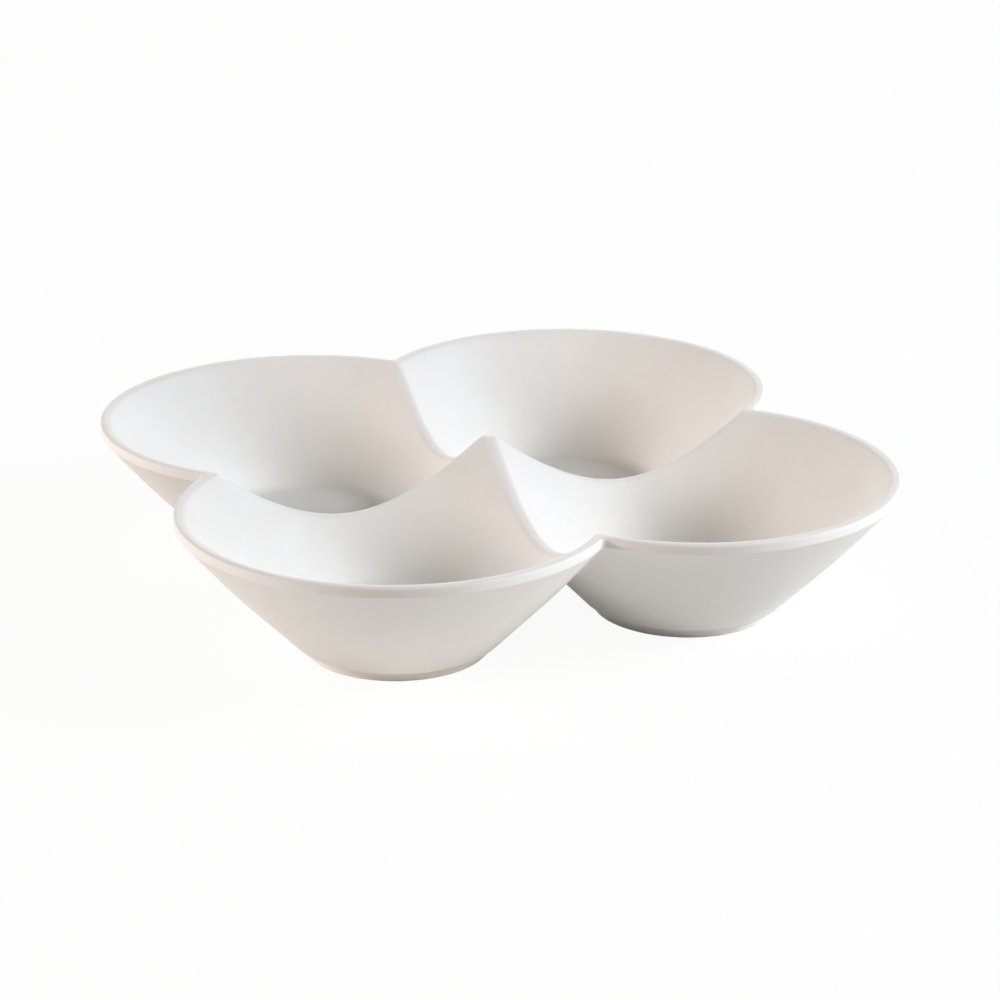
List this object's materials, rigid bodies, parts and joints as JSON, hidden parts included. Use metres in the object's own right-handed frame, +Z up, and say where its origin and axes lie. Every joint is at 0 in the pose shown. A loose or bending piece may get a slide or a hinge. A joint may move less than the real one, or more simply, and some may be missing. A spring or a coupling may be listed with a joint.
{
  "type": "divided serving bowl",
  "caption": "Low square-set serving dish of joined cone-walled cups with rounded dividers rising to a centre peak, on foot rings.",
  "frame": {"origin": "on the surface the bowl stands on, under the centre peak, midway between the cups", "axes": "+Z up; X and Y run along the lines between neighbouring cups, so each cup lies in one quarter"},
  "size_m": [0.2998, 0.2998, 0.0612],
  "materials": {
    "glaze": "satin white glaze",
    "bare_foot": "matt unglazed clay"
  },
  "bodies": {
    "root": {"cup_back_right": "glaze", "cup_back_left": "glaze", "cup_front_left": "glaze", "cup_front_right": "glaze", "rim_back_right": "glaze", "rim_back_left": "glaze", "rim_front_left": "glaze", "rim_front_right": "glaze", "divider_front": "glaze", "divider_back": "glaze", "divider_left": "glaze", "divider_right": "glaze", "centre_peak": "glaze", "foot_ring_back_right": "bare_foot", "foot_ring_back_left": "bare_foot", "foot_ring_front_left": "bare_foot", "foot_ring_front_right": "bare_foot"}
  },
  "joints": []
}
